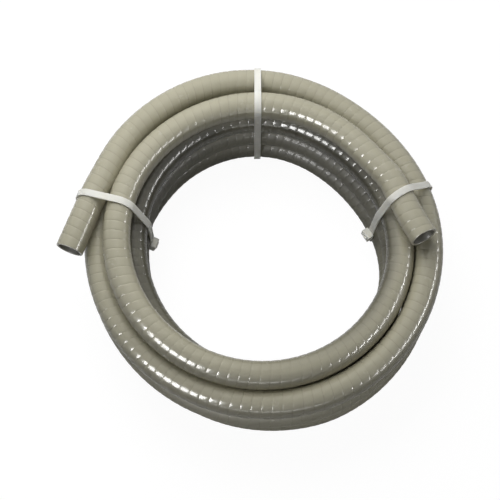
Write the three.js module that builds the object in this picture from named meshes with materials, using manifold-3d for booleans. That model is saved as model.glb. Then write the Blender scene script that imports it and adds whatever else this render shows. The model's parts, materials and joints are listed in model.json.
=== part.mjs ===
// Sewer hose kit: one length of smooth-bore flexible PVC hose, wound into a coil of two columns
// and bound by three one-piece cable ties. Millimetres, +Z up, origin under the middle of the part.
import * as THREE from 'three';
import { mergeVertices } from 'three/addons/utils/BufferGeometryUtils.js';
import Module from 'manifold-3d';

const wasm = await Module();
wasm.setup();

// ---------------------------------------------------------------- driving dimensions

const CLEAR = 0.3;              // gap kept between touching pieces

const HOSE_OD = 30;
const HOSE_WALL = 2.5;
const INNER_RADIUS = 153.6;     // coil axis to the middle of the hose, inner column
const COLUMN_GAP = 0.8;         // between the two columns, where they lie level
const END_A_LENGTH = 52;        // free stretch past the left tie
const END_B_LENGTH = 38;        // free stretch past the right tie

const STRAP_WIDTH = 7.6;
const STRAP_THICKNESS = 1.5;
const TOOTH_PITCH = 1.2;
const TOOTH_DEPTH = 0.45;
const STRAIGHT_TEETH = 5;       // teeth on the strap before it bends into the head
const BEND_RADIUS = 0.9;        // on the strap's smooth side, where it turns into the head
const TAIL_STUB = 1.2;          // trimmed tail, proud of the head

const HEAD_LENGTH = 11.5;
const HEAD_WIDTH = 12;
const HEAD_HEIGHT = 7.5;
const HEAD_CHAMFER = 1.3;
const PAWL_WIDTH = 5.4;
const PAWL_THICKNESS = 1.2;     // at its foot
const PAWL_TEETH = 3;
const PAWL_SWING = 1.4;         // free space behind the pawl's tip
const LEDGE = 1.2;              // floor of the slot, which carries the pawl
const SLOT_LEAD = 0.8;          // chamfer where the strap enters the slot
const TAIL_ASIDE = 1.9;         // from the middle of the head to the tail's smooth side
const PAWL_ASIDE = 1;           // from the tips of the pawl's teeth to its foot
const PAWL_TAPER = 0.3;
const PAWL_DROP = 0.6;          // from the top of the head down to the pawl's tip

// ---------------------------------------------------------------- the hose's route

const HOSE_R = HOSE_OD / 2;
const BORE_R = HOSE_R - HOSE_WALL;
const TURN_PITCH = HOSE_OD + CLEAR;
const OUTER_RADIUS = INNER_RADIUS + HOSE_OD + COLUMN_GAP;
const STRAP_LIFT = STRAP_THICKNESS + CLEAR;     // the straps pass under the back of the coil

// Turns are counted from the +X side at the top of the inner column. They go down that column to
// the floor, cross outwards under the stack, and climb the outer column.
const FIRST_TURN = 0.1;
const LAST_TURN = 6.4;
const STATIONS_PER_TURN = 24;
const DOWN = 3.25;
const UP = 3.75;
const FLOOR_RUN = 0.2;          // turns between the lowest climb and the floor
const FLOOR_SLOPE = 5 / 3;      // that climb is a little steeper than the others
const CROSS_START = 3.42;
const CROSS_END = 3.82;

// How far the turns stray from two neat columns.
const HUMP = 0.217 * HOSE_OD;       // rise over the crossing, on the left
const PINCH = 0.5 * HOSE_OD;        // inner column, drawn in by the left tie
const DIP = 0.317 * HOSE_OD;        // inner column, drawn in by the right tie
const TUCK = 0.3 * HOSE_OD;         // outer column, drawn in by the left tie
const SWELL = 0.267 * HOSE_OD;      // last turn, slack at the back
const LAST_DIP = 0.083 * HOSE_OD;   // last turn, drawn in by the right tie

// Free ends: the angle in degrees, how far outside the column in hose widths, and the height in
// turns. The outermost point is the mouth's centre.
const END_B = [
  [-3.1, 0.68, 3.31],
  [5, 0.293, 3.281],
  [11, 0.147, 3.264],
  [17, 0.057, 3.254],
  [23.4, 0.013, 3.241],
];
const END_A = [
  [160.5, -0.003, 2.954],
  [168.3, 0.087, 2.947],
  [177.2, 0.313, 2.898],
  [185, 0.677, 2.815],
];

const SAMPLES_PER_STEP = 16;

const step = (from, to, x) => THREE.MathUtils.smoothstep(x, from, to);

// A smooth swelling of height 1 at one place round the turn.
function bump(turn, centre, halfWidth) {
  const u = THREE.MathUtils.euclideanModulo(turn - centre + 0.5, 1) - 0.5;
  return Math.abs(u) < halfWidth ? 0.5 + 0.5 * Math.cos(Math.PI * u / halfWidth) : 0;
}

function turnHeight(turn) {
  const inner = Math.min(DOWN - turn, (DOWN - FLOOR_RUN - turn) * FLOOR_SLOPE);
  const outer = Math.min(turn - UP, (turn - UP - FLOOR_RUN) * FLOOR_SLOPE);
  const onFloor = turn > 3 && turn < 4;
  const hump = onFloor ? 0 : HUMP * bump(turn, 0.5, 0.36);
  const lift = STRAP_LIFT * step(-0.3, 0.12, Math.sin(2 * Math.PI * turn));
  return HOSE_R + TURN_PITCH * Math.max(0, inner, outer) + hump + lift;
}

function innerRadius(turn) {
  const lower = step(0.9, 1.3, turn);
  const pinch = PINCH * bump(turn, 0.53, 0.29) * (lower - 0.4 * step(2.9, 3.3, turn));
  const dip = DIP * bump(turn, 0.11, 0.16) * (0.5 + 0.5 * lower);
  return INNER_RADIUS - pinch - dip;
}

function outerRadius(turn) {
  const middle = step(3.95, 4.3, turn) * (1 - step(4.9, 5.3, turn));
  const upper = step(4.9, 5.3, turn) * (1 - step(5.8, 6.1, turn));
  const last = step(5.8, 6.1, turn);
  const tuck = TUCK * (bump(turn, 0.58, 0.24) * middle + bump(turn, 0.59, 0.3) * upper);
  const swell = last * (SWELL * bump(turn, 0.285, 0.17) - LAST_DIP * bump(turn, 0.11, 0.14));
  return OUTER_RADIUS - tuck + swell;
}

function polar(angle, radius, height) {
  return new THREE.Vector3(radius * Math.cos(angle), radius * Math.sin(angle), height);
}

function coilPoint(turn) {
  const across = THREE.MathUtils.clamp((turn - CROSS_START) / (CROSS_END - CROSS_START), 0, 1);
  const radius = THREE.MathUtils.lerp(innerRadius(turn), outerRadius(turn), across);
  return polar(2 * Math.PI * turn, radius, turnHeight(turn));
}

function endPoint([degrees, widths, turns], columnRadius) {
  const radius = columnRadius + widths * HOSE_OD;
  return polar(THREE.MathUtils.degToRad(degrees), radius, HOSE_R + turns * TURN_PITCH);
}

function hoseRoute() {
  const points = END_B.map((entry) => endPoint(entry, INNER_RADIUS));
  const count = Math.round((LAST_TURN - FIRST_TURN) * STATIONS_PER_TURN);
  for (let i = 0; i <= count; i++) {
    points.push(coilPoint(THREE.MathUtils.lerp(FIRST_TURN, LAST_TURN, i / count)));
  }
  points.push(...END_A.map((entry) => endPoint(entry, OUTER_RADIUS)));
  const curve = new THREE.CatmullRomCurve3(points, false, 'catmullrom', 0.5);
  curve.arcLengthDivisions = points.length * SAMPLES_PER_STEP;
  return curve;
}

// Part of a curve, from one distance along it to another.
class Stretch extends THREE.Curve {
  constructor(curve, from, to) {
    super();
    this.curve = curve;
    this.from = from / curve.getLength();
    this.to = to / curve.getLength();
  }

  getPoint(t, target) {
    return this.curve.getPointAt(THREE.MathUtils.lerp(this.from, this.to, t), target);
  }

  getTangent(t, target) {
    return this.curve.getTangentAt(THREE.MathUtils.lerp(this.from, this.to, t), target);
  }
}

// ---------------------------------------------------------------- solids

function closedGeometry(geometry) {
  geometry.deleteAttribute('normal');
  geometry.deleteAttribute('uv');
  return mergeVertices(geometry, 1e-4);
}

function toSolid(geometry) {
  const closed = closedGeometry(geometry);
  return new wasm.Manifold(new wasm.Mesh({
    numProp: 3,
    vertProperties: new Float32Array(closed.attributes.position.array),
    triVerts: new Uint32Array(closed.index.array),
  }));
}

function toGeometry(solid) {
  const mesh = solid.getMesh();
  const geometry = new THREE.BufferGeometry();
  geometry.setAttribute('position', new THREE.BufferAttribute(mesh.vertProperties, 3));
  geometry.setIndex(new THREE.BufferAttribute(mesh.triVerts, 1));
  geometry.computeVertexNormals();
  return geometry;
}

function polygon(radius, sides) {
  const points = [];
  for (let i = 0; i < sides; i++) {
    const angle = 2 * Math.PI * i / sides;
    points.push(new THREE.Vector2(radius * Math.cos(angle), radius * Math.sin(angle)));
  }
  return points;
}

function tube({ path, steps, sides, boreSides }) {
  const section = new THREE.Shape(polygon(HOSE_R, sides));
  section.holes.push(new THREE.Path(polygon(BORE_R, boreSides)));
  return new THREE.ExtrudeGeometry(section, { steps, extrudePath: path });
}

// A flat outline made into a plate, centred on its own plane.
function plate(outline, width) {
  const shape = new THREE.Shape(outline);
  const geometry = new THREE.ExtrudeGeometry(shape, { depth: width, bevelEnabled: false });
  geometry.translate(0, 0, -width / 2);
  return geometry;
}

// ---------------------------------------------------------------- the hose

const hosePlastic = { color: 0x9a9684, roughness: 0.45, metalness: 0 };
const tiePlastic = { color: 0xdcd9cf, roughness: 0.4, metalness: 0 };

const WINDING_PIECES = 7;
const lengthMesh = { steps: 35, sides: 12, boreSides: 8 };
const endMesh = { steps: 5, sides: 24, boreSides: 20 };

function mesh(name, geometry, look) {
  const piece = new THREE.Mesh(geometry, new THREE.MeshStandardMaterial(look));
  piece.name = name;
  return piece;
}

// The real hose is one piece. It is drawn as its two free ends and a row of lengths between them.
function hoseLengths(route) {
  const length = route.getLength();
  const last = length - END_A_LENGTH;
  const share = (last - END_B_LENGTH) / WINDING_PIECES;
  const pieces = [{ name: 'hose_end_b', path: new Stretch(route, 0, END_B_LENGTH), ...endMesh }];
  for (let i = 0; i < WINDING_PIECES; i++) {
    const start = END_B_LENGTH + i * share + CLEAR;
    const end = END_B_LENGTH + (i + 1) * share - (i + 1 === WINDING_PIECES ? CLEAR : 0);
    pieces.push({ name: `hose_length_${i + 1}`, path: new Stretch(route, start, end), ...lengthMesh });
  }
  pieces.push({ name: 'hose_end_a', path: new Stretch(route, last, length), ...endMesh });
  return pieces;
}

// Points close together on the hose's axis, both on the smooth line and on the facets' chords.
function hoseAxis(lengths) {
  const points = [];
  for (const { path, steps } of lengths) {
    const stations = path.getSpacedPoints(steps);
    for (let i = 0; i < steps; i++) {
      for (let k = 0; k < SAMPLES_PER_STEP; k++) {
        points.push(stations[i].clone().lerp(stations[i + 1], k / SAMPLES_PER_STEP));
      }
    }
    points.push(...path.getSpacedPoints(steps * SAMPLES_PER_STEP));
  }
  return points;
}

// ---------------------------------------------------------------- cable ties

// Each tie lies in its own plane. The plane is turned by azimuth and leans by lean, in degrees. It
// passes the coil's axis at a share of the inner radius. The head's height is counted in turns.
const TIES = [
  { name: 'left', azimuth: 163.5, lean: -2.5, aside: 0.1224, headTurns: 1.09, headSide: 'inner' },
  { name: 'top', azimuth: 90, lean: 0, aside: 0.013, headTurns: 1.98, headSide: 'outer' },
  { name: 'right', azimuth: 31.5, lean: -3.8, aside: -0.2493, headTurns: 1.09, headSide: 'inner' },
];

function tiePlane({ azimuth, lean, aside }) {
  const turn = THREE.MathUtils.degToRad(azimuth);
  const tilt = THREE.MathUtils.degToRad(lean);
  const outwards = new THREE.Vector3(Math.cos(turn), Math.sin(turn), 0);
  const sideways = new THREE.Vector3(-Math.sin(turn), Math.cos(turn), 0);
  const upwards = new THREE.Vector3(0, 0, Math.cos(tilt)).addScaledVector(sideways, Math.sin(tilt));
  const normal = new THREE.Vector3().crossVectors(outwards, upwards);
  const group = new THREE.Group();
  group.quaternion.setFromRotationMatrix(new THREE.Matrix4().makeBasis(outwards, upwards, normal));
  group.position.copy(sideways).multiplyScalar(aside * INNER_RADIUS);
  group.updateMatrix();
  return group;
}

// Circles that the strap is pulled round: the hose's sections within the strap's width.
function bundleSections(plane, axis) {
  const toPlane = plane.matrix.clone().invert();
  const sections = [];
  for (const point of axis) {
    const p = point.clone().applyMatrix4(toPlane);
    const beyond = Math.max(0, Math.abs(p.z) - STRAP_WIDTH / 2);
    if (p.x > 0 && beyond < HOSE_R) {
      sections.push({ x: p.x, y: p.y, r: Math.sqrt(HOSE_R ** 2 - beyond ** 2) + CLEAR });
    }
  }
  return sections;
}

const STRAP_DIRECTIONS = 72;

// The tight loop round all the circles, counter-clockwise, as the points where it is touched
// from evenly spread directions.
function tightLoop(sections) {
  const loop = [];
  for (let i = 0; i < STRAP_DIRECTIONS; i++) {
    const angle = Math.PI / 2 + 2 * Math.PI * (i + 0.5) / STRAP_DIRECTIONS;
    const normal = new THREE.Vector2(Math.cos(angle), Math.sin(angle));
    const reach = (c) => c.x * normal.x + c.y * normal.y + c.r;
    const touched = sections.reduce((best, c) => (reach(c) > reach(best) ? c : best));
    const point = new THREE.Vector2(touched.x, touched.y).addScaledVector(normal, touched.r);
    loop.push({ point, normal });
  }
  return loop;
}

// Finds the straight stretch that carries the head, and gives the loop from there round to there
// again, with a map from (along the strap, away from the bundle) to the tie's plane.
function seatHead(loop, { headTurns, headSide }) {
  const headHeight = headTurns * TURN_PITCH;
  const count = loop.length;
  const falling = headSide === 'inner';
  for (let i = 0; i < count; i++) {
    const a = loop[i].point;
    const b = loop[(i + 1) % count].point;
    const wasAbove = a.y >= headHeight;
    const isAbove = b.y >= headHeight;
    if (wasAbove === isAbove || wasAbove !== falling) continue;
    const along = b.clone().sub(a).normalize();
    const away = new THREE.Vector2(along.y, -along.x);
    const centre = a.clone().lerp(b, (headHeight - a.y) / (b.y - a.y));
    const at = (s, n) => centre.clone().addScaledVector(along, s).addScaledVector(away, n);
    const round = [];
    for (let k = 1; k <= count; k++) round.push(loop[(i + k) % count]);
    return { at, round, run: centre.distanceTo(a) };
  }
  throw new Error('the head is above or below the bundle');
}

// Across the head, along the strap: the tail's smooth side, its toothed side, and the slot.
const TAIL_SMOOTH = -TAIL_ASIDE;
const TAIL_TOOTHED = TAIL_SMOOTH + STRAP_THICKNESS;
const SLOT_LEFT = TAIL_SMOOTH - CLEAR;
const PAWL_FRONT = TAIL_TOOTHED + CLEAR;
const PAWL_FOOT = PAWL_FRONT + PAWL_ASIDE;
const PAWL_BACK = PAWL_FOOT + PAWL_THICKNESS;
const SLOT_RIGHT = PAWL_BACK + PAWL_SWING;
const SLOT_WIDTH = STRAP_WIDTH + 2 * CLEAR;
const HEAD_FLOOR = STRAP_THICKNESS + CLEAR;
const HEAD_TOP = HEAD_FLOOR + HEAD_HEIGHT;
const LEDGE_TOP = HEAD_FLOOR + LEDGE;
const BEND_S = TAIL_SMOOTH - BEND_RADIUS;
const BEND_N = STRAP_THICKNESS + BEND_RADIUS;
const ROOT_S = PAWL_BACK;

// A row of teeth along a straight side: from, towards the end point, cut to one side.
function teeth(from, to, inwards) {
  const length = from.distanceTo(to);
  const count = Math.floor(length / TOOTH_PITCH);
  const along = to.clone().sub(from).normalize();
  const points = [];
  for (let i = 0; i < count; i++) {
    const start = from.clone().addScaledVector(along, i * TOOTH_PITCH);
    points.push(start);
    const middle = start.clone().addScaledVector(along, 0.5 * TOOTH_PITCH);
    points.push(middle.addScaledVector(inwards, TOOTH_DEPTH));
  }
  points.push(from.clone().addScaledVector(along, count * TOOTH_PITCH));
  return points;
}

function arc(centreS, centreN, radius, fromDeg, toDeg, parts) {
  const points = [];
  for (let i = 0; i <= parts; i++) {
    const angle = THREE.MathUtils.degToRad(THREE.MathUtils.lerp(fromDeg, toDeg, i / parts));
    points.push([centreS + radius * Math.cos(angle), centreN + radius * Math.sin(angle)]);
  }
  return points;
}

// Strap: out of the head's root, round the bundle, and up through the slot.
function strapOutline({ at, round, run }) {
  const tailTop = HEAD_TOP + TAIL_STUB;
  const toothRun = Math.min(STRAIGHT_TEETH * TOOTH_PITCH, run - BEND_RADIUS);
  const inner = round.map(({ point }) => point);
  const outer = round.map(({ point, normal }) => point.clone().addScaledVector(normal, STRAP_THICKNESS));
  const outwards = at(0, 1).sub(at(0, 0));
  const backwards = at(-1, 0).sub(at(0, 0));
  const toothed = [
    ...teeth(at(BEND_S - toothRun, 0), at(BEND_S, 0), outwards),
    ...arc(BEND_S, BEND_N, BEND_RADIUS + STRAP_THICKNESS, -80, -10, 5).map(([s, n]) => at(s, n)),
    ...teeth(at(TAIL_TOOTHED, BEND_N), at(TAIL_TOOTHED, tailTop), backwards),
    at(TAIL_TOOTHED, tailTop),
  ];
  const smooth = arc(BEND_S, BEND_N, BEND_RADIUS, 0, -90, 5).map(([s, n]) => at(s, n));
  return [
    at(ROOT_S, 0), ...inner, ...toothed,
    at(TAIL_SMOOTH, tailTop), ...smooth, ...outer.reverse(), at(ROOT_S, STRAP_THICKNESS),
  ];
}

function headOutline(at) {
  const half = HEAD_LENGTH / 2;
  const c = HEAD_CHAMFER;
  return [
    [-half, HEAD_FLOOR], [half, HEAD_FLOOR], [half, HEAD_TOP - c], [half - c, HEAD_TOP],
    [-half + c, HEAD_TOP], [-half, HEAD_TOP - c],
  ].map(([s, n]) => at(s, n)).reverse();
}

function slotOutline(at) {
  const below = HEAD_FLOOR - LEDGE;     // the cut starts and ends well outside the head
  const above = HEAD_TOP + LEDGE;
  const lead = SLOT_LEAD + HEAD_FLOOR - below;
  return [
    [SLOT_LEFT - lead, below], [PAWL_FOOT - CLEAR, below], [PAWL_FOOT - CLEAR, LEDGE_TOP],
    [SLOT_RIGHT, LEDGE_TOP], [SLOT_RIGHT, above], [SLOT_LEFT, above], [SLOT_LEFT, below + lead],
  ].map(([s, n]) => at(s, n)).reverse();
}

function rootOutline(at) {
  const sunk = STRAP_THICKNESS / 2;
  const right = HEAD_LENGTH / 2;
  return [
    [ROOT_S, sunk], [right, sunk], [right, HEAD_FLOOR + sunk], [ROOT_S, HEAD_FLOOR + sunk],
  ].map(([s, n]) => at(s, n)).reverse();
}

function pawlOutline(at) {
  const foot = LEDGE_TOP + CLEAR;
  const shoulder = foot + PAWL_THICKNESS;
  const tip = HEAD_TOP - PAWL_DROP;
  const face = PAWL_FRONT + TOOTH_DEPTH;
  const points = [
    [PAWL_FOOT, foot], [PAWL_BACK, foot], [PAWL_BACK, shoulder], [PAWL_BACK - PAWL_TAPER, tip], [face, tip],
  ];
  for (let i = 0; i < PAWL_TEETH; i++) {
    const n = tip - i * TOOTH_PITCH;
    points.push([PAWL_FRONT, n - 0.2 * TOOTH_PITCH], [face, n - TOOTH_PITCH]);
  }
  return points.map(([s, n]) => at(s, n)).reverse();
}

function makeTie(tie, axis) {
  const plane = tiePlane(tie);
  const seat = seatHead(tightLoop(bundleSections(plane, axis)), tie);
  const strap = toSolid(plate(strapOutline(seat), STRAP_WIDTH));
  const root = toSolid(plate(rootOutline(seat.at), STRAP_WIDTH));
  const slot = toSolid(plate(slotOutline(seat.at), SLOT_WIDTH));
  const head = toSolid(plate(headOutline(seat.at), HEAD_WIDTH)).subtract(slot);
  const body = head.add(root).add(strap);
  plane.add(mesh(`tie_${tie.name}`, toGeometry(body), tiePlastic));

  const pivot = seat.at((PAWL_FOOT + PAWL_BACK) / 2, LEDGE_TOP + CLEAR);
  const pawl = closedGeometry(plate(pawlOutline(seat.at), PAWL_WIDTH));
  pawl.translate(-pivot.x, -pivot.y, 0);
  const piece = mesh(`tie_${tie.name}_pawl`, pawl, tiePlastic);
  piece.position.set(pivot.x, pivot.y, 0);
  plane.add(piece);
  return plane;
}

// ---------------------------------------------------------------- the whole part

const lengths = hoseLengths(hoseRoute());
const axis = hoseAxis(lengths);
const coil = new THREE.Group();
for (const length of lengths) coil.add(mesh(length.name, tube(length), hosePlastic));
for (const tie of TIES) coil.add(makeTie(tie, axis));

const box = new THREE.Box3().setFromObject(coil, true);
const middle = box.getCenter(new THREE.Vector3());
coil.position.set(-middle.x, -middle.y, -box.min.z);

const kit = new THREE.Group();
kit.add(coil);

export default kit;
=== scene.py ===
# %% [markdown]
# # A coil of waste hose, tied for the shelf
#
# The object is one length of smooth-bore flexible PVC hose, the kind that drains a caravan's sink
# or tank. It is wound into a coil of two columns that lie side by side, and three nylon cable ties
# hold it. The CAD model gives the frame: where the coil stands, how big it may be, and which
# body each piece moves with. Everything here is in metres, with +Z up.

# %% Load the frame
import json
import math

import bpy
import numpy as np
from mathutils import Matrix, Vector


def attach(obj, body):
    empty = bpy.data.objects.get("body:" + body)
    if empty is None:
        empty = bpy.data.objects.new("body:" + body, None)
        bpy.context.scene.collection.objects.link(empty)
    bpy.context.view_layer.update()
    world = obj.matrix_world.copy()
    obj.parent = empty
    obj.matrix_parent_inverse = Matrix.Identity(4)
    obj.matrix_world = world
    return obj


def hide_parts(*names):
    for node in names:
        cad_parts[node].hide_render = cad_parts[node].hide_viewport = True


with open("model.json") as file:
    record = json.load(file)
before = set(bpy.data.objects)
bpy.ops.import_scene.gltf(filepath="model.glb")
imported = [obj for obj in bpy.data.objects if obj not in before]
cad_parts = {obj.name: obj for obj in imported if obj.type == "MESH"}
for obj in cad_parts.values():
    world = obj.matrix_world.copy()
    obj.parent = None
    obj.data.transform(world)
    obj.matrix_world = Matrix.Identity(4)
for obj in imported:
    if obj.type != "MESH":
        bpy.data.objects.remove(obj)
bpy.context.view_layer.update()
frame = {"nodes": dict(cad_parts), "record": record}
record = frame["record"]

# %% [markdown]
# ## Camera
#
# The camera looks down at the coil from the front, steeply enough to see through its middle to the
# floor. It could aim at the middle of the coil's box, but the coil is to stand a little off the
# middle of the view, so the camera has an aim of its own. A long lens keeps the far side of the
# coil almost as big as the near side.

# %% Camera
CAMERA_ELEVATION = math.radians(68)
CAMERA_DISTANCE = 1.133
CAMERA_AIM = Vector((-0.0012, -0.0220, 0.0913))
LENS = 75.6
SENSOR_WIDTH = 36

camera_data = bpy.data.cameras.new("camera")
camera_data.sensor_width = SENSOR_WIDTH
camera_data.lens = LENS
camera = bpy.data.objects.new("camera", camera_data)
bpy.context.collection.objects.link(camera)
back = Vector((0, -math.cos(CAMERA_ELEVATION), math.sin(CAMERA_ELEVATION)))
camera.location = CAMERA_AIM + back * CAMERA_DISTANCE
camera.rotation_euler = back.to_track_quat("Z", "Y").to_euler()
bpy.context.scene.camera = camera
print("camera at", tuple(round(x, 3) for x in camera.location), "with a", LENS, "mm lens")

# %% [markdown]
# ## The hose's route
#
# A coiled hose is one long curve. Its turns follow a rule, so a loop works them out: they go down
# the inner column to the floor, cross outwards under the stack, and climb the outer column. A few
# smooth bumps in radius and height stand for the slack of a coil wound by hand. The two free ends
# follow no rule, so their points are placed one by one.

# %% Sizes of the hose
# CLEAR is the gap between pieces that touch on the real coil.
CLEAR = 0.0003
HOSE_OD = 0.030
HOSE_BORE = 0.025
HOSE_R = HOSE_OD / 2
BORE_R = HOSE_BORE / 2
INNER_RADIUS = 0.1536
COLUMN_GAP = 0.0008
OUTER_RADIUS = INNER_RADIUS + HOSE_OD + COLUMN_GAP
TURN_PITCH = HOSE_OD + CLEAR
STRAP_THICKNESS = 0.0015
STRAP_LIFT = STRAP_THICKNESS + CLEAR
print("hose", HOSE_OD * 1000, "mm outside,", HOSE_BORE * 1000, "mm bore")

# %% Where the winding passes from one part to the next
# Turns are counted along the hose from the coil's +X side. At an even slope the hose would meet the
# floor at DOWN and leave it at UP. It takes the last stretch FLOOR_SLOPE times as steeply, so it
# lies down FLOOR_RUN before the one and stays down FLOOR_RUN past the other.
FIRST_TURN = 0.1
LAST_TURN = 6.4
DOWN = 3.25
UP = 3.75
FLOOR_RUN = 0.2
FLOOR_SLOPE = 5 / 3
FLOOR_TURN = 3
CROSSING = (3.42, 3.82)
TOP_TURN_ENDS = (0.9, 1.3)
PINCH_EASES = (2.9, 3.3)
OUTER_STARTS = (3.95, 4.3)
UPPER_STARTS = (4.9, 5.3)
LAST_STARTS = (5.8, 6.1)
print("winding of", round(LAST_TURN - FIRST_TURN, 2), "turns")

# %% How far the turns stray from two neat columns
HUMP = 0.217 * HOSE_OD
PINCH = 0.5 * HOSE_OD
DIP = 0.317 * HOSE_OD
TUCK = 0.3 * HOSE_OD
SWELL = 0.267 * HOSE_OD
LAST_DIP = 0.083 * HOSE_OD

# Where round the coil each of them is strongest, and how far it reaches to each side, in turns.
HUMP_AT = (0.5, 0.36)
PINCH_AT = (0.53, 0.29)
DIP_AT = (0.11, 0.16)
MIDDLE_TUCK_AT = (0.58, 0.24)
UPPER_TUCK_AT = (0.59, 0.3)
SWELL_AT = (0.285, 0.17)
LAST_DIP_AT = (0.11, 0.14)

# The share of the pinch that is lost on the lowest turn, and of the dip that the top turn has.
PINCH_LOST = 0.4
TOP_DIP = 0.5

# How far back a point lies, as a sine, where the back tie's strap starts to lift it and where it
# lifts it fully.
STRAP_SPAN = (-0.3, 0.12)
print("hump", round(HUMP * 1000, 1), "mm; pinch", round(PINCH * 1000, 1), "mm")

# %% Free ends
# For each point the angle in degrees, how far outside the column in hose widths, and the height in
# turns. The outermost point is the mouth's centre.
END_B = [
    (-3.1, 0.68, 3.31),
    (5, 0.293, 3.281),
    (11, 0.147, 3.264),
    (17, 0.057, 3.254),
    (23.4, 0.013, 3.241),
]
END_A = [
    (160.5, -0.003, 2.954),
    (168.3, 0.087, 2.947),
    (177.2, 0.313, 2.898),
    (185, 0.677, 2.815),
]
print(len(END_B), "points for end B,", len(END_A), "for end A")


# %% Shape of the turns
def step(low, high, x):
    t = min(max((x - low) / (high - low), 0), 1)
    return t * t * (3 - 2 * t)


def bump(turn, centre, half_width):
    u = (turn - centre + 0.5) % 1 - 0.5
    return 0.5 + 0.5 * math.cos(math.pi * u / half_width) if abs(u) < half_width else 0


def turn_height(turn):
    inner = min(DOWN - turn, (DOWN - FLOOR_RUN - turn) * FLOOR_SLOPE)
    outer = min(turn - UP, (turn - UP - FLOOR_RUN) * FLOOR_SLOPE)
    hump = 0 if FLOOR_TURN < turn < FLOOR_TURN + 1 else HUMP * bump(turn, *HUMP_AT)
    lift = STRAP_LIFT * step(*STRAP_SPAN, math.sin(2 * math.pi * turn))
    return HOSE_R + TURN_PITCH * max(0, inner, outer) + hump + lift


def inner_radius(turn):
    lower = step(*TOP_TURN_ENDS, turn)
    pinch = PINCH * bump(turn, *PINCH_AT) * (lower - PINCH_LOST * step(*PINCH_EASES, turn))
    dip = DIP * bump(turn, *DIP_AT) * (TOP_DIP + (1 - TOP_DIP) * lower)
    return INNER_RADIUS - pinch - dip


def outer_radius(turn):
    middle = step(*OUTER_STARTS, turn) * (1 - step(*UPPER_STARTS, turn))
    upper = step(*UPPER_STARTS, turn) * (1 - step(*LAST_STARTS, turn))
    last = step(*LAST_STARTS, turn)
    tuck = TUCK * (bump(turn, *MIDDLE_TUCK_AT) * middle + bump(turn, *UPPER_TUCK_AT) * upper)
    swell = last * (SWELL * bump(turn, *SWELL_AT) - LAST_DIP * bump(turn, *LAST_DIP_AT))
    return OUTER_RADIUS - tuck + swell


def polar(angle, radius, height):
    return Vector((radius * math.cos(angle), radius * math.sin(angle), height))


def coil_point(turn):
    start, end = CROSSING
    across = min(max((turn - start) / (end - start), 0), 1)
    radius = inner_radius(turn) * (1 - across) + outer_radius(turn) * across
    return polar(2 * math.pi * turn, radius, turn_height(turn))


print("top turn's axis", round(1000 * turn_height(FIRST_TURN), 1), "mm up")

# %% [markdown]
# The turns are worked out about the coil's own axis. The record says where the mouth of end B is,
# as a point on its rim and the way it faces, so the whole route is moved to meet it.

# %% Put the route in its place
RIM_RADIUS = (HOSE_R + BORE_R) / 2
STATIONS_PER_TURN = 24


def end_point(entry, column_radius):
    degrees, widths, turns = entry
    radius = column_radius + widths * HOSE_OD
    return polar(math.radians(degrees), radius, HOSE_R + turns * TURN_PITCH)


turn_count = round((LAST_TURN - FIRST_TURN) * STATIONS_PER_TURN)
turns = [FIRST_TURN + (LAST_TURN - FIRST_TURN) * i / turn_count for i in range(turn_count + 1)]
route = [end_point(entry, INNER_RADIUS) for entry in END_B]
route += [coil_point(turn) for turn in turns]
route += [end_point(entry, OUTER_RADIUS) for entry in END_A]

mouth_b = next(m for m in record["mounts"] if m["name"] == "mouth_b")
facing = Vector(mouth_b["axis"])
rim_up = (Vector((0, 0, 1)) - facing * facing.z).normalized()
coil_centre = Vector(mouth_b["pos_m"]) - rim_up * RIM_RADIUS - route[0]
route = [p + coil_centre for p in route]
centre_mm = tuple(round(x * 1000, 2) for x in coil_centre)
print("coil's axis at", centre_mm, "mm;", len(route), "route points")


# %% One smooth line through the points
def smooth_line(points, per_span=24):
    p = np.array([tuple(q) for q in points])
    p = np.vstack([2 * p[0] - p[1], p, 2 * p[-1] - p[-2]])
    t = np.linspace(0, 1, per_span, endpoint=False)[:, None]
    spans = []
    for a, b, c, d in zip(p, p[1:], p[2:], p[3:]):
        spans.append(0.5 * (2 * b + (c - a) * t + (2 * a - 5 * b + 4 * c - d) * t**2
                            + (3 * b - a - 3 * c + d) * t**3))
    return np.vstack(spans + [p[-2:-1]])


line = smooth_line(route)
line_at = np.concatenate([[0], np.cumsum(np.linalg.norm(np.diff(line, axis=0), axis=1))])
HOSE_LENGTH = float(line_at[-1])


def along_hose(distance):
    """Points on the hose's axis, at these distances from mouth B."""
    return np.stack([np.interp(distance, line_at, line[:, k]) for k in range(3)], axis=-1)


print("hose length", round(HOSE_LENGTH, 3), "m")

# %% [markdown]
# ## The hose's wall
#
# A curve with a bevel would give the outside, but a real hose is a tube: at both mouths the eye
# meets a square-cut rim and looks into the bore. A stiff spiral is moulded into the wall too, so
# its rows of points don't stand in flat rings. Each row winds round the hose as the spiral does,
# and after one turn it joins the row of the next rib. At the mouths the rows run together into one
# flat ring, and plain rings go on from there: round the rim, down the bore and round the other rim.
# The wall closes on itself, so it has no open edge.

# %% Frames along the axis
FRAME_COUNT = 4000


def carried_frames(points):
    """Two directions across the line at each point, carried along so that nothing twists."""
    tangents = np.gradient(points, axis=0)
    tangents /= np.linalg.norm(tangents, axis=1)[:, None]
    side = np.cross(tangents[0], [0, 0, 1])
    sides = []
    for tangent in tangents:
        side = side - tangent * side.dot(tangent)
        side /= np.linalg.norm(side)
        sides.append(side)
    sides = np.array(sides)
    return sides, np.cross(tangents, sides)


frame_at = np.linspace(0, HOSE_LENGTH, FRAME_COUNT)
frame_sides, frame_ups = carried_frames(along_hose(frame_at))


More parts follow.
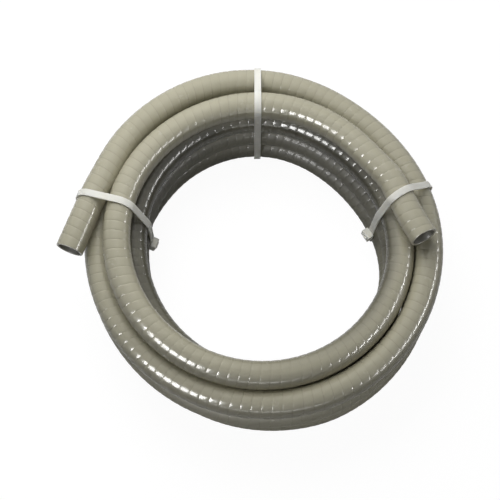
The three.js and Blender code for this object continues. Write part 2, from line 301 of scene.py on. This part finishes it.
def across_hose(distance, around):
    """The direction out from the axis, at a distance along and a share of a turn around."""
    side = np.stack([np.interp(distance, frame_at, frame_sides[:, k]) for k in range(3)], axis=-1)
    up = np.stack([np.interp(distance, frame_at, frame_ups[:, k]) for k in range(3)], axis=-1)
    turn = math.tau * around[:, None]
    return side * np.cos(turn) + up * np.sin(turn)


print(FRAME_COUNT, "frames, one every", round(1000 * HOSE_LENGTH / FRAME_COUNT, 2), "mm")

# %% Rows of the outer skin
RIB_PITCH = 0.0104
# Places of the rows about the groove, as shares of the pitch, closest where the groove is.
ROWS_IN_RIB = (-0.3, -0.11, -0.055, 0, 0.055, 0.11, 0.3)
SIDES = 20
# EDGE is the rounding of the rims, and the rib rises over LIFT_RUN from each mouth.
EDGE = 0.0004
LIFT_RUN = 0.002
SKIN_START = 2 * EDGE
SKIN_END = HOSE_LENGTH - 2 * EDGE
# The rows go on past both mouths, since each leans by one rib in a turn round the hose.
SPARE_RIBS = 3


def skin_point(row, k):
    """Name and distance along of a point of the outer skin, side k of a row of the spiral."""
    if k == SIDES:
        row, k = row - len(ROWS_IN_RIB), 0
    rib, place = divmod(row, len(ROWS_IN_RIB))
    distance = RIB_PITCH * (rib - 0.5 + ROWS_IN_RIB[place] - k / SIDES)
    if distance <= SKIN_START:
        return ("start", k), SKIN_START
    if distance >= SKIN_END:
        return ("end", k), SKIN_END
    return (row, k), distance


row_count = len(ROWS_IN_RIB) * (math.ceil(HOSE_LENGTH / RIB_PITCH) + SPARE_RIBS)
print(row_count, "rows of", SIDES, "points")

# %% Rings of the rims and the bore
BORE_STEP = 0.03
EDGE_MIDDLE = 0.3 * EDGE
SKIN, CUT, BORE = 0, 1, 2


def plain_rings():
    """Name, distance, radius and kind of each ring, from the skin's end to its start."""
    rim = [(EDGE_MIDDLE, HOSE_R - EDGE_MIDDLE), (0, HOSE_R - EDGE)]
    rim += [(0, RIM_RADIUS), (0, BORE_R + EDGE)]
    bore = np.linspace(SKIN_END, SKIN_START, round(HOSE_LENGTH / BORE_STEP))
    rings = [("end", SKIN_END, HOSE_R, SKIN)]
    rings += [(f"far rim {i}", HOSE_LENGTH - s, r, CUT) for i, (s, r) in enumerate(rim)]
    rings += [(f"bore {i}", s, BORE_R, BORE) for i, s in enumerate(bore)]
    rings += [(f"near rim {i}", s, r, CUT) for i, (s, r) in enumerate(reversed(rim))]
    return rings + [("start", SKIN_START, HOSE_R, SKIN)]


rings = plain_rings()
print(len(rings), "plain rings")


# %% Faces of the wall
def wall_faces():
    """Points as distance, radius, kind and share of a turn, faces, and their corners' UVs."""
    index, points, faces, corners = {}, [], [], []

    def point(name, distance, radius, kind, around):
        if name not in index:
            index[name] = len(points)
            points.append((distance, radius, kind, around % 1))
        return index[name]

    def add_face(named):
        """Adds a face from its corners' values, less those corners that fall together."""
        ring = [point(*value) for value in named]
        keep = [i for i in range(4) if ring[i] != ring[i - 1]]
        if len(keep) > 2:
            faces.append([ring[i] for i in keep])
            corners.extend((named[i][1], named[i][4]) for i in keep)

    for row in range(row_count - 1):
        for k in range(SIDES):
            square = [(row, k), (row, k + 1), (row + 1, k + 1), (row + 1, k)]
            add_face([(*skin_point(r, q), HOSE_R, SKIN, q / SIDES) for r, q in square])
    for ring, next_ring in zip(rings, rings[1:]):
        for k in range(SIDES):
            square = [(ring, k), (ring, k + 1), (next_ring, k + 1), (next_ring, k)]
            add_face([((r[0], q % SIDES), *r[1:], q / SIDES) for r, q in square])
    return np.array(points), faces, np.array(corners, np.float32)


points, faces, corners = wall_faces()
print("wall:", len(points), "points,", len(faces), "faces")


# %% Skin the wall
def hose_wall():
    distance, radius, kind, around = points.T
    places = along_hose(distance) + across_hose(distance, around) * radius[:, None]
    mesh = bpy.data.meshes.new("hose")
    mesh.from_pydata(places.tolist(), [], faces)
    mesh.uv_layers.new(name="hose").data.foreach_set("uv", corners.reshape(-1))
    from_mouth = np.minimum(distance - SKIN_START, SKIN_END - distance)
    values = {
        "along": distance,
        "around": around,
        "outside": kind != BORE,
        "cut": kind == CUT,
        "lift": (kind == SKIN) * np.clip(from_mouth / LIFT_RUN, 0, 1),
    }
    for name, value in values.items():
        layer = mesh.attributes.new(name, "FLOAT", "POINT")
        layer.data.foreach_set("value", value.astype(np.float32))
    mesh.polygons.foreach_set("use_smooth", [True] * len(mesh.polygons))
    return mesh


def add_piece(name, mesh):
    piece = bpy.data.objects.new(name, mesh)
    bpy.context.collection.objects.link(piece)
    return piece


hose = add_piece("hose", hose_wall())
print("hose:", len(hose.data.polygons), "faces")

# %% [markdown]
# ## Ribs
#
# The spiral shows on the outside as a faint rib, with a narrow groove between one turn of it and
# the next. They follow a rule, so Geometry Nodes shape them. Each point of the wall knows how
# far along and how far around it is. Those two numbers give its place in the rib, and the point
# moves along its normal: out by a raised cosine for the rib, and in by a narrow bell for the
# groove.

# %% Helpers for node trees
def add_node(tree, kind, inputs=None, **settings):
    node = tree.nodes.new(kind)
    for name, value in settings.items():
        setattr(node, name, value)
    for name, value in (inputs or {}).items():
        socket = node.inputs[name]
        if isinstance(value, bpy.types.NodeSocket):
            tree.links.new(value, socket)
        else:
            socket.default_value = value
    return node


def add_math(tree, operation, a, b=0.0):
    return add_node(tree, "ShaderNodeMath", {0: a, 1: b}, operation=operation).outputs[0]


def point_value(tree, name):
    node = add_node(tree, "GeometryNodeInputNamedAttribute", data_type="FLOAT")
    node.inputs["Name"].default_value = name
    return node.outputs["Attribute"]


def groove_bell(tree, phase, widths):
    """1 in the groove, halfway between two ribs, and 0 a few widths from it."""
    from_groove = add_math(tree, "SUBTRACT", add_math(tree, "FRACT", phase), 0.5)
    steps = add_math(tree, "MULTIPLY", from_groove, widths)
    square = add_math(tree, "MULTIPLY", steps, steps)
    return add_math(tree, "EXPONENT", add_math(tree, "MULTIPLY", square, -1.0))


print("helpers ready")

# %% Rib tree
def rib_tree():
    tree = bpy.data.node_groups.new("raise rib", "GeometryNodeTree")
    face = tree.interface
    face.new_socket("Geometry", in_out="INPUT", socket_type="NodeSocketGeometry")
    for name in ("Rib Pitch", "Rib Height", "Groove Width", "Groove Depth"):
        face.new_socket(name, in_out="INPUT", socket_type="NodeSocketFloat")
    face.new_socket("Material", in_out="INPUT", socket_type="NodeSocketMaterial")
    face.new_socket("Geometry", in_out="OUTPUT", socket_type="NodeSocketGeometry")
    given = tree.nodes.new("NodeGroupInput").outputs
    turns = add_math(tree, "DIVIDE", point_value(tree, "along"), given["Rib Pitch"])
    phase = add_math(tree, "ADD", turns, point_value(tree, "around"))
    cosine = add_math(tree, "COSINE", add_math(tree, "MULTIPLY", phase, math.tau))
    wave = add_node(tree, "ShaderNodeMath", {0: cosine, 1: 0.5, 2: 0.5}, operation="MULTIPLY_ADD")
    rib = add_math(tree, "MULTIPLY", wave.outputs[0], given["Rib Height"])
    widths = add_math(tree, "DIVIDE", given["Rib Pitch"], given["Groove Width"])
    groove = add_math(tree, "MULTIPLY", groove_bell(tree, phase, widths), given["Groove Depth"])
    height = add_math(tree, "SUBTRACT", rib, groove)
    height = add_math(tree, "MULTIPLY", height, point_value(tree, "lift"))
    normal = tree.nodes.new("GeometryNodeInputNormal").outputs[0]
    rise = add_node(tree, "ShaderNodeVectorMath", {0: normal, "Scale": height}, operation="SCALE")
    moved = add_node(tree, "GeometryNodeSetPosition",
                     {"Geometry": given["Geometry"], "Offset": rise.outputs[0]})
    real = add_node(tree, "GeometryNodeRealizeInstances", {"Geometry": moved.outputs[0]})
    dressed = add_node(tree, "GeometryNodeSetMaterial",
                       {"Geometry": real.outputs[0], "Material": given["Material"]})
    out = tree.nodes.new("NodeGroupOutput")
    tree.links.new(dressed.outputs[0], out.inputs[0])
    return tree


raise_rib = rib_tree()
print("rib tree:", len(raise_rib.nodes), "nodes")


# %% Run a tree
def run_tree(piece, tree, **values):
    """Runs a node tree on a piece and keeps the result as its mesh."""
    modifier = piece.modifiers.new(tree.name, "NODES")
    modifier.node_group = tree
    for item in tree.interface.items_tree:
        if item.in_out == "INPUT" and item.name.replace(" ", "_").lower() in values:
            modifier[item.identifier] = values[item.name.replace(" ", "_").lower()]
    graph = bpy.context.evaluated_depsgraph_get()
    result = bpy.data.meshes.new_from_object(piece.evaluated_get(graph), depsgraph=graph)
    piece.modifiers.remove(modifier)
    piece.data = result


print("sockets of", raise_rib.name, [item.name for item in raise_rib.interface.items_tree])

# %% [markdown]
# ## Hose material
#
# The wall is soft PVC: a warm grey with a waxy gloss. Down in the coil's middle, under the top
# turns and inside the outer column, the grey is painted much darker, as shade that falls there;
# the top of the coil and its outside keep the plain grey. One flat grey would look like paint, so
# fainter things are laid over it: a slow drift of tone, a fine mottle, pale scuffs that are rougher
# than the rest, a duller bloom of dust on the low turns, and a very fine unevenness of the surface.
# The groove is already in the mesh. The material only adds a painted shade line in it, a hairline
# that is faint in most places.
# The bore is painted darker, as the shade deep inside it, and is dull, and the cut rims are paler.
# The painted groove line reads the hose's own UV map, in which one unit is a metre along. Marks on
# the mesh tell the bore and the rims, and the rest reads the place on the object.

# %% Shader helpers
def new_material(name):
    material = bpy.data.materials.new(name)
    material.use_nodes = True
    return material, material.node_tree, material.node_tree.nodes["Principled BSDF"]


def add_noise(tree, vector, scale, detail=3.0, roughness=0.5):
    inputs = {"Vector": vector, "Scale": scale, "Detail": detail, "Roughness": roughness}
    return add_node(tree, "ShaderNodeTexNoise", inputs).outputs["Fac"]


def add_range(tree, value, low, high, to_low, to_high):
    inputs = {"Value": value, "From Min": low, "From Max": high}
    inputs.update({"To Min": to_low, "To Max": to_high})
    node = add_node(tree, "ShaderNodeMapRange", inputs, interpolation_type="SMOOTHSTEP")
    return node.outputs["Result"]


def mix_colour(tree, factor, a, b):
    node = add_node(tree, "ShaderNodeMix", data_type="RGBA")
    for index, value in ((0, factor), (6, a), (7, b)):
        if isinstance(value, bpy.types.NodeSocket):
            tree.links.new(value, node.inputs[index])
        else:
            node.inputs[index].default_value = value
    return node.outputs[2]


print("shader helpers ready")

# %% Where a point lies on the hose
CREASE_WIDTH = 0.0004

# Scale, detail and roughness of the noises.
MOTTLE_NOISE = (60.0, 4.0)
SCUFF_NOISE = (34.0, 6.0, 0.65)
SCUFF_RANGE = (0.57, 0.72)


def read_hose(tree):
    """A point's place, its height and radius in the coil, and how far each mark is on it."""
    place = tree.nodes.new("ShaderNodeTexCoord").outputs["Object"]
    from_axis = add_node(tree, "ShaderNodeVectorMath", {0: place, 1: coil_centre},
                         operation="SUBTRACT")
    parts = add_node(tree, "ShaderNodeSeparateXYZ", {0: from_axis.outputs[0]}).outputs
    level = add_node(tree, "ShaderNodeCombineXYZ", {"X": parts["X"], "Y": parts["Y"]}).outputs[0]
    radius = add_node(tree, "ShaderNodeVectorMath", {0: level}, operation="LENGTH").outputs["Value"]
    outside = add_node(tree, "ShaderNodeAttribute", attribute_name="outside").outputs["Fac"]
    uv = add_node(tree, "ShaderNodeUVMap", uv_map="hose").outputs[0]
    split = add_node(tree, "ShaderNodeSeparateXYZ", {0: uv}).outputs
    phase = add_math(tree, "ADD", add_math(tree, "DIVIDE", split["X"], RIB_PITCH), split["Y"])
    crease = groove_bell(tree, phase, RIB_PITCH / CREASE_WIDTH)
    return {
        "place": place,
        "height": parts["Z"],
        "radius": radius,
        "outside": outside,
        "crease": add_math(tree, "MULTIPLY", crease, outside),
        "mottle": add_noise(tree, place, *MOTTLE_NOISE),
        "scuff": add_range(tree, add_noise(tree, place, *SCUFF_NOISE), *SCUFF_RANGE, 0.0, 1.0),
    }


print("crease", CREASE_WIDTH * 1000, "mm wide")

# %% Colours of soft PVC
HOSE_COLOUR = (0.43, 0.407, 0.306, 1)
HOSE_SHADE = (0.335, 0.321, 0.232, 1)
# Painted shade: the bore's darker colour stands in for the shade deep inside the hose.
BORE_PAINTED_SHADE = (0.09, 0.085, 0.068, 1)
CUT_COLOUR = (0.56, 0.54, 0.46, 1)
# Painted shade: a dark line in the groove stands in for the shade that falls in it.
PAINTED_GROOVE_SHADE = (0.2, 0.19, 0.15, 1)
# Painted shade for the coil's middle, where the low turns lie in shade.
PAINTED_SHADE_COLOUR = (0.07, 0.067, 0.052, 1)

# Metres up, and metres out from the coil's axis, over which the painted shade of the coil's middle
# gives way to the plain grey.
SHADE_FADE_HEIGHT = (0.088, 0.112)
SHADE_FADE_RADIUS = (0.137, 0.158)
print("kept colour is", round(PAINTED_SHADE_COLOUR[0] / HOSE_COLOUR[0], 2), "of the unshaded one")

# %% Layers of colour
DRIFT_NOISE = (9.0, 3.0)
DRIFT_RANGE = (0.35, 0.65)
FADE_NOISE = (22.0, 3.0)
FADE_RANGE = (0.4, 0.62)
CREASE_SHARE = (0.02, 0.24)
DRIFT_SHARE = 0.28
MOTTLE_SHARE = 0.18
SCUFF_SHARE = 0.15
CUT_SHARE = 0.8
BORE_SHARE = 0.3


def pvc_colour(tree, at):
    # Painted shade: the low turns inside the coil are darkened, standing in for the shade that
    # falls there.
    high = add_range(tree, at["height"], *SHADE_FADE_HEIGHT, 0.0, 1.0)
    wide = add_range(tree, at["radius"], *SHADE_FADE_RADIUS, 0.0, 1.0)
    painted_shade = add_math(tree, "SUBTRACT", 1.0, add_math(tree, "MAXIMUM", high, wide))
    drift = add_range(tree, add_noise(tree, at["place"], *DRIFT_NOISE), *DRIFT_RANGE, 0.0, 1.0)
    # Painted shade in the groove: how dark its line is, faint in most places.
    groove_shade_share = add_range(tree, add_noise(tree, at["place"], *FADE_NOISE), *FADE_RANGE, *CREASE_SHARE)
    cut = add_node(tree, "ShaderNodeAttribute", attribute_name="cut").outputs["Fac"]
    layers = [
        (painted_shade, 1.0, PAINTED_SHADE_COLOUR),
        (drift, DRIFT_SHARE, HOSE_SHADE),
        (at["mottle"], MOTTLE_SHARE, HOSE_SHADE),
        (at["crease"], groove_shade_share, PAINTED_GROOVE_SHADE),
        (at["scuff"], SCUFF_SHARE, CUT_COLOUR),
        (cut, CUT_SHARE, CUT_COLOUR),
    ]
    colour = HOSE_COLOUR
    for mask, share, layer in layers:
        colour = mix_colour(tree, add_math(tree, "MULTIPLY", mask, share), colour, layer)
    # The bore's painted shade, with a little of the mottle.
    bore_mottle = add_math(tree, "MULTIPLY", at["mottle"], BORE_SHARE)
    bore = mix_colour(tree, bore_mottle, BORE_PAINTED_SHADE, HOSE_SHADE)
    return mix_colour(tree, at["outside"], bore, colour)


print("the drift of tone is", DRIFT_SHARE, "strong, the mottle", MOTTLE_SHARE)

# %% Gloss of soft PVC
GLOSS_RANGE = (0.3, 0.7)
GLOSS_ROUGHNESS = (0.17, 0.27)
SCUFF_ROUGHNESS = 0.15
DUST_LINE = 0.056
DUST_FADE = 0.025
DUST_ROUGHNESS = 0.36
BORE_ROUGHNESS = 0.6


def pvc_roughness(tree, at):
    gloss = add_range(tree, at["mottle"], *GLOSS_RANGE, *GLOSS_ROUGHNESS)
    dust = add_range(tree, at["height"], DUST_LINE, DUST_LINE + DUST_FADE, DUST_ROUGHNESS, 0.0)
    scuffed = add_math(tree, "MULTIPLY", at["scuff"], SCUFF_ROUGHNESS)
    rough = add_math(tree, "ADD", add_math(tree, "ADD", gloss, scuffed), dust)
    return add_range(tree, at["outside"], 0.0, 1.0, BORE_ROUGHNESS, rough)


print("dust up to", round((DUST_LINE + DUST_FADE) * 1000), "mm")

# %% Relief of soft PVC
CREASE_DEPTH = 0.00005
RIPPLE_NOISE = (110.0, 2.0)
RIPPLE_HEIGHT = 0.00003
GRAIN_NOISE = (900.0, 2.0)
GRAIN_HEIGHT = 0.000008


def pvc_relief(tree, at):
    ripple = add_math(tree, "MULTIPLY", add_noise(tree, at["place"], *RIPPLE_NOISE), RIPPLE_HEIGHT)
    grain = add_math(tree, "MULTIPLY", add_noise(tree, at["place"], *GRAIN_NOISE), GRAIN_HEIGHT)
    sunk = add_math(tree, "MULTIPLY", at["crease"], -CREASE_DEPTH)
    relief = add_math(tree, "ADD", sunk, add_math(tree, "ADD", ripple, grain))
    bumps = add_node(tree, "ShaderNodeBump", {"Height": relief, "Strength": 1.0, "Distance": 1.0})
    return bumps.outputs[0]


print("ripple", RIPPLE_HEIGHT * 1000, "mm high")

# %% Soft PVC
PVC_IOR = 1.42
COAT_WEIGHT = 0.1
COAT_ROUGHNESS = 0.08


def hose_pvc():
    material, tree, shader = new_material("soft grey PVC")
    at = read_hose(tree)
    tree.links.new(pvc_colour(tree, at), shader.inputs["Base Color"])
    tree.links.new(pvc_roughness(tree, at), shader.inputs["Roughness"])
    shader.inputs["IOR"].default_value = PVC_IOR
    shader.inputs["Coat Weight"].default_value = COAT_WEIGHT
    shader.inputs["Coat Roughness"].default_value = COAT_ROUGHNESS
    relief = pvc_relief(tree, at)
    tree.links.new(relief, shader.inputs["Normal"])
    tree.links.new(relief, shader.inputs["Coat Normal"])
    return material


pvc = hose_pvc()
print("soft PVC:", len(pvc.node_tree.nodes), "nodes")

# %% Raise the ribs and dress the hose
RIB_HEIGHT = 0.00012
GROOVE_WIDTH = 0.0006
GROOVE_DEPTH = 0.00022
run_tree(hose, raise_rib, rib_pitch=RIB_PITCH, rib_height=RIB_HEIGHT, groove_width=GROOVE_WIDTH,
         groove_depth=GROOVE_DEPTH, material=pvc)
HOSE_NODES = [name for name in frame["nodes"] if name.startswith("hose_")]
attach(hose, "coil")
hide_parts(*HOSE_NODES)
print("hose stands for", len(HOSE_NODES), "solids;", len(hose.data.polygons), "faces")

# %% [markdown]
# ## Cable ties
#
# The ties are moulded nylon of the natural, milky colour. Their straps, heads, teeth and pawls come
# from the frame, where they have their true shapes, so they only need softened edges and a
# material. A bevel rounds the edges that a mould can't make sharp.

# %% Natural nylon
NYLON = (0.78, 0.77, 0.69, 1)
NYLON_THIN = (0.85, 0.845, 0.79, 1)
CLOUD_NOISE = (70.0, 3.0)
SHEEN_NOISE = (240.0, 3.0)
SHEEN_RANGE = (0.3, 0.7)
NYLON_ROUGHNESS = (0.34, 0.5)
MILKINESS = 0.7
MILK_COLOUR = (1, 0.96, 0.88)
MILK_DEPTH = 0.003
MOULD_NOISE = (1100.0, 2.0)
MOULD_STRENGTH = 0.2
MOULD_HEIGHT = 0.0001


def tie_nylon():
    material, tree, shader = new_material("natural nylon")
    place = tree.nodes.new("ShaderNodeTexCoord").outputs["Object"]
    colour = mix_colour(tree, add_noise(tree, place, *CLOUD_NOISE), NYLON, NYLON_THIN)
    tree.links.new(colour, shader.inputs["Base Color"])
    rough = add_range(tree, add_noise(tree, place, *SHEEN_NOISE), *SHEEN_RANGE, *NYLON_ROUGHNESS)
    tree.links.new(rough, shader.inputs["Roughness"])
    shader.inputs["Subsurface Weight"].default_value = MILKINESS
    shader.inputs["Subsurface Radius"].default_value = MILK_COLOUR
    shader.inputs["Subsurface Scale"].default_value = MILK_DEPTH
    inputs = {"Height": add_noise(tree, place, *MOULD_NOISE), "Strength": MOULD_STRENGTH,
              "Distance": MOULD_HEIGHT}
    bumps = add_node(tree, "ShaderNodeBump", inputs)
    tree.links.new(bumps.outputs[0], shader.inputs["Normal"])
    return material


nylon = tie_nylon()
print("natural nylon:", len(nylon.node_tree.nodes), "nodes")

# %% Dress the ties
EDGE_ROUND = 0.00022
EDGE_SEGMENTS = 2
SHARP_ANGLE = math.radians(35)
for name, node in frame["nodes"].items():
    if not name.startswith("tie_"):
        continue
    node.data.materials.clear()
    node.data.materials.append(nylon)
    bevel = node.modifiers.new("soft edges", "BEVEL")
    bevel.width = EDGE_ROUND
    bevel.segments = EDGE_SEGMENTS
    bevel.limit_method = "ANGLE"
    bevel.angle_limit = SHARP_ANGLE
print("ties dressed:", sum(name.startswith("tie_") for name in frame["nodes"]), "nodes")

# %% [markdown]
# ## Floor and light
#
# The coil lies on a plain white floor. A lit floor alone would turn grey where the coil shades it
# and would throw too much light back up. So it is bright by itself where the eye looks at it, keeps
# a tenth of its own shading for a faint shadow, and bounces only part of the light. The sky does
# the same: white to the eye and to reflections, and dim as a light.
#
# The lamps are of two kinds. The key, above the back, and the two fills, at the right and the
# front, shade the hose and don't mirror in it. The three strips do the opposite: the wide one at
# the front left gives the rows of highlights at the lower left and the upper right, the narrow one
# at the right gives the long thin lines, and the low one gives the lowest turns a fine edge.

# %% Rays
WHITE = (1, 1, 1, 1)


def eye_and_mirror(tree):
    """Whether a ray comes straight from the eye, and whether it comes from a reflection."""
    rays = tree.nodes.new("ShaderNodeLightPath").outputs
    direct = add_math(tree, "MAXIMUM", rays["Is Camera Ray"], rays["Is Transmission Ray"])
    return direct, rays["Is Glossy Ray"]


print("rays are told apart by eye and mirror")

# %% Floor
FLOOR_WHITE = (0.95, 0.95, 0.95, 1)
FLOOR_BOUNCE = (0.25, 0.25, 0.25, 1)
FLOOR_ROUGHNESS = 0.9
FLOOR_GLOW = 1.055
GLOW_TO_EYE = 0.9
GLOW_TO_MIRROR = 0.1
FLOOR_HALF = 6.0


def floor_white():
    material, tree, shader = new_material("white floor")
    eye, mirror = eye_and_mirror(tree)
    colour = mix_colour(tree, add_math(tree, "MAXIMUM", eye, mirror), FLOOR_BOUNCE, FLOOR_WHITE)
    tree.links.new(colour, shader.inputs["Base Color"])
    shader.inputs["Roughness"].default_value = FLOOR_ROUGHNESS
    shader.inputs["Specular IOR Level"].default_value = 0
    glow = add_node(tree, "ShaderNodeEmission", {"Strength": FLOOR_GLOW})
    share = add_math(tree, "MAXIMUM", add_math(tree, "MULTIPLY", eye, GLOW_TO_EYE),
                     add_math(tree, "MULTIPLY", mirror, GLOW_TO_MIRROR))
    mixed = add_node(tree, "ShaderNodeMixShader", {0: share})
    tree.links.new(shader.outputs[0], mixed.inputs[1])
    tree.links.new(glow.outputs[0], mixed.inputs[2])
    tree.links.new(mixed.outputs[0], tree.nodes["Material Output"].inputs["Surface"])
    return material


def square_floor(half):
    mesh = bpy.data.meshes.new("floor")
    corners = [(-half, -half, 0), (half, -half, 0), (half, half, 0), (-half, half, 0)]
    mesh.from_pydata(corners, [], [(0, 1, 2, 3)])
    mesh.materials.append(floor_white())
    return mesh


floor = add_piece("floor", square_floor(FLOOR_HALF))
print("floor", 2 * FLOOR_HALF, "m wide")

# %% Surroundings
HORIZON = 0.05
OVERHEAD = 0.1
BACKDROP = 1.0


def studio_sky():
    world = bpy.data.worlds.new("studio")
    world.use_nodes = True
    tree = world.node_tree
    direction = tree.nodes.new("ShaderNodeTexCoord").outputs["Generated"]
    upwards = add_node(tree, "ShaderNodeSeparateXYZ", {0: direction}).outputs["Z"]
    dome = add_node(tree, "ShaderNodeMapRange",
                    {"Value": upwards, "To Min": HORIZON, "To Max": OVERHEAD})
    fill = tree.nodes["Background"]
    fill.inputs["Color"].default_value = WHITE
    tree.links.new(dome.outputs["Result"], fill.inputs["Strength"])
    backdrop = add_node(tree, "ShaderNodeBackground", {"Color": WHITE, "Strength": BACKDROP})
    eye, mirror = eye_and_mirror(tree)
    either = add_node(tree, "ShaderNodeMixShader", {0: add_math(tree, "MAXIMUM", eye, mirror)})
    tree.links.new(fill.outputs[0], either.inputs[1])
    tree.links.new(backdrop.outputs[0], either.inputs[2])
    tree.links.new(either.outputs[0], tree.nodes["World Output"].inputs["Surface"])
    return world


bpy.context.scene.world = studio_sky()
print("sky from", HORIZON, "at the horizon to", OVERHEAD, "overhead")


# %% Lamps
def add_lamp(name, azimuth, elevation, distance, size, radiance):
    """A lamp that faces the camera's aim, from degrees round, degrees up and metres away."""
    data = bpy.data.lights.new(name, "AREA")
    data.shape = "RECTANGLE"
    data.size, data.size_y = size
    data.energy = radiance * math.pi * size[0] * size[1]
    lamp = bpy.data.objects.new(name, data)
    bpy.context.collection.objects.link(lamp)
    turn, rise = math.radians(azimuth), math.radians(elevation)
    level = math.cos(rise)
    towards = Vector((math.cos(turn) * level, math.sin(turn) * level, math.sin(rise)))
    lamp.location = CAMERA_AIM + towards * distance
    lamp.rotation_euler = towards.to_track_quat("Z", "Y").to_euler()
    return lamp


key = add_lamp("key", 112, 53, 0.8, (0.75, 0.75), 3.9)
front_strip = add_lamp("front strip", -132, 34, 1.7, (0.8, 0.72), 28)
right_strip = add_lamp("right strip", -14, 22, 1.7, (1.5, 0.13), 36)
right_fill = add_lamp("right fill", 20, 10, 1.7, (1.0, 0.5), 1.8)
front_fill = add_lamp("front fill", -104, 46, 1.7, (0.7, 0.7), 2.2)
low_strip = add_lamp("low strip", -90, 12, 1.7, (1.5, 0.12), 9)
for lamp in (key, right_fill, front_fill):
    lamp.visible_glossy = False
for lamp in (front_strip, right_strip, low_strip):
    lamp.visible_diffuse = False
bpy.context.scene.view_settings.view_transform = "Standard"
